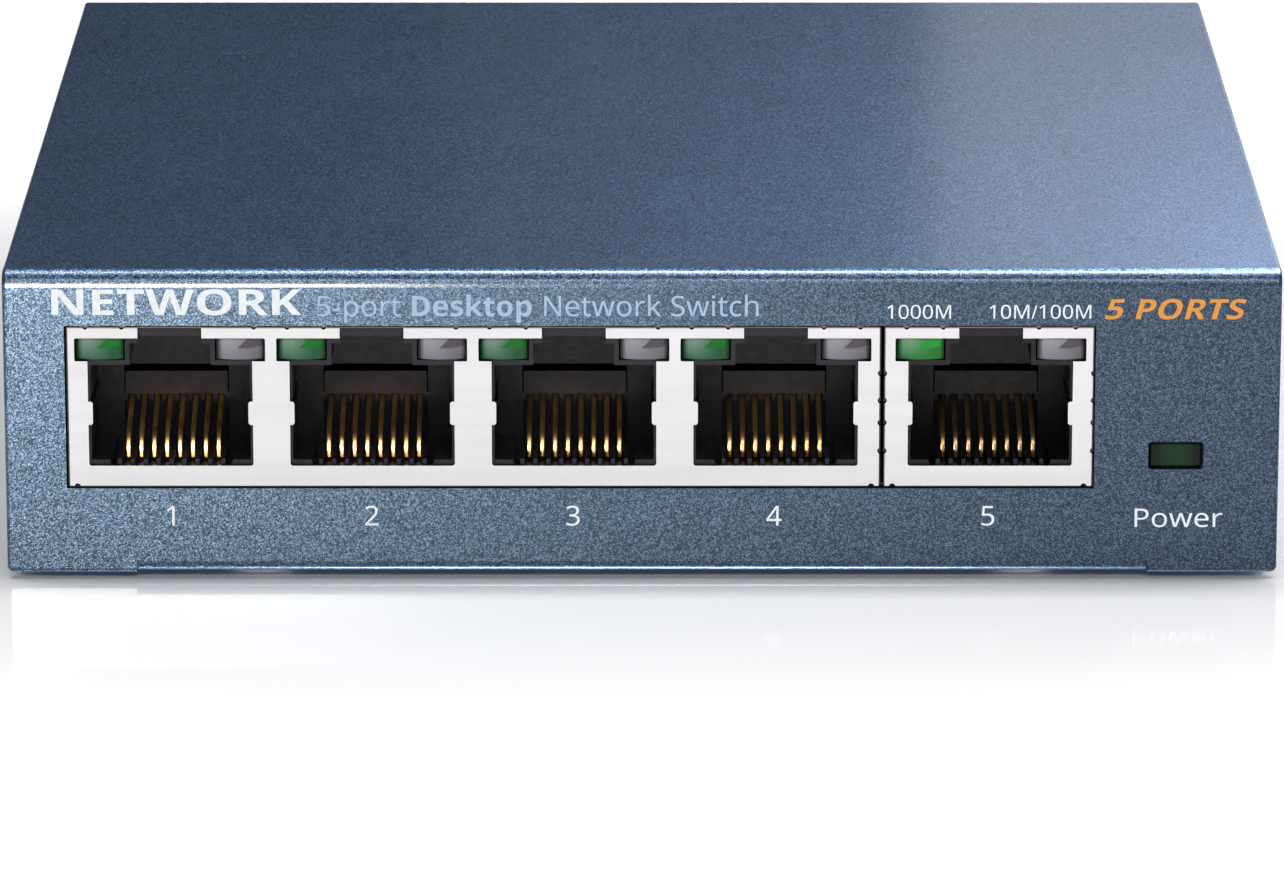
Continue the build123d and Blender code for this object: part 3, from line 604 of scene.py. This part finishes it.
def world():
    """Dim surroundings above the horizon, and pale ones below it, past the edge of the floor."""
    made = bpy.data.worlds.new("studio")
    made.use_nodes = True
    tree = made.node_tree
    place = tree.nodes.new("ShaderNodeTexCoord")
    axes = tree.nodes.new("ShaderNodeSeparateXYZ")
    ramp = tree.nodes.new("ShaderNodeValToRGB")
    tree.links.new(place.outputs["Generated"], axes.inputs[0])
    tree.links.new(axes.outputs["Z"], ramp.inputs[0])
    stops = ((0.0, (0.9, 0.9, 0.92, 1)), (0.01, (0.05, 0.055, 0.065, 1)))
    for stop, (position, colour) in zip(ramp.color_ramp.elements, stops):
        stop.position = position
        stop.color = colour
    tree.links.new(ramp.outputs[0], tree.nodes["Background"].inputs["Color"])
    bpy.context.scene.world = made


# ---------------------------------------------------------------- lights

ORIGIN = (0.0, 0.0, 0.0)
WARM = (1.0, 0.84, 0.65)

# Low lamps behind the case, given by left end and watts. They overlap to the right, so the
# light on the top grows from left to right.
BACK_ROW = ((-0.03, 0.022), (0.01, 0.015), (0.045, 0.27), (0.075, 0.36))
BACK_WIDE = 0.5


def softbox(name, place, target, size, watts, colour=(1, 1, 1)):
    """A rectangular light aimed at a point."""
    light = bpy.data.lights.new(name, "AREA")
    light.shape = "RECTANGLE"
    light.size, light.size_y = size
    light.energy = watts
    light.color = colour
    lamp = bpy.data.objects.new(name, light)
    lamp.location = place
    lamp.rotation_euler = (Vector(target) - Vector(place)).to_track_quat("-Z", "Y").to_euler()
    lamp.visible_camera = False
    bpy.context.collection.objects.link(lamp)
    return lamp


def choose_lit(lamp, pieces, state):
    """INCLUDE: the lamp lights only these pieces. EXCLUDE: it lights all but these."""
    group = bpy.data.collections.new(lamp.name + "_receivers")
    for piece in pieces:
        group.objects.link(piece)
    for entry in group.collection_objects:
        entry.light_linking.link_state = state
    lamp.light_linking.receiver_collection = group


ground = floor()
world()
ink_pieces = [piece for piece in bpy.data.objects if piece.name.startswith("print_")]
port_pieces = [node for name, node in NODES.items() if name.endswith(("_led", "_shield", "_housing"))]

softbox("overhead", place=(0.06, 0.05, 1.05), target=(0.06, 0.05, 0.0), size=(1.2, 0.3), watts=11.5)
softbox("front_high", place=(0.10, -0.95, 0.75), target=ORIGIN, size=(0.9, 0.2), watts=4.0)
for left_end, watts in BACK_ROW:
    middle = left_end + BACK_WIDE / 2
    softbox("back_low", (middle, 0.55, 0.17), (middle, 0.0, 0.02), (BACK_WIDE, 0.26), watts)

edge = softbox(
    "edge_right", place=(0.11, 0.04, 0.15), target=(0.045, -0.049, 0.024), size=(0.08, 0.05), watts=1.4
)
choose_lit(edge, [ground], "EXCLUDE")

floor_glow = softbox("floor_glow", place=(0.0, 1.0, 0.5), target=ORIGIN, size=(2.0, 0.3), watts=4.0)
choose_lit(floor_glow, [ground], "INCLUDE")

front_left = softbox(
    "front_left",
    place=(-0.075, -0.215, 0.030),
    target=(-0.05, -0.05, 0.010),
    size=(0.10, 0.05),
    watts=0.84,
    colour=WARM,
)
choose_lit(front_left, [ground, *ink_pieces, *port_pieces], "EXCLUDE")

# Two lamps that the cover's front bend mirrors
bend_top = softbox(
    "bend_top", place=(0.21, 0.20, 1.05), target=(0.21, -0.05, 0.02), size=(0.56, 0.09), watts=11.0
)
bend_front = softbox(
    "bend_front", place=(0.20, -0.92, 0.50), target=(0.1, -0.05, 0.02), size=(0.6, 0.28), watts=1.2
)
for glint in (bend_top, bend_front):
    choose_lit(glint, [NODES["top_cover"]], "INCLUDE")

ink_key = softbox("ink_key", place=(0.0, -0.9, 1.1), target=ORIGIN, size=(0.6, 0.3), watts=10.0)
choose_lit(ink_key, ink_pieces, "INCLUDE")

# A lamp under the floor, which neither lights the floor nor is blocked by it
underside = softbox("underside", place=(0.0, 0.0, -0.5), target=ORIGIN, size=(0.08, 0.08), watts=1.8)
choose_lit(underside, [ground], "EXCLUDE")
underside.light_linking.blocker_collection = underside.light_linking.receiver_collection


# ---------------------------------------------------------------- camera

CAMERA_PLACE = (0.0, -0.6512, 0.1799)
LOOK_DOWN = 15.604
SENSOR = 36.0
FOCAL_LENGTH = 223.5

camera = bpy.data.cameras.new("camera")
camera.sensor_width = SENSOR
camera.lens = FOCAL_LENGTH
camera.clip_start = 0.01
viewer = bpy.data.objects.new("camera", camera)
viewer.location = CAMERA_PLACE
viewer.rotation_euler = (math.radians(90.0 - LOOK_DOWN), 0.0, 0.0)
bpy.context.collection.objects.link(viewer)
bpy.context.scene.camera = viewer
bpy.context.scene.view_settings.view_transform = "Standard"
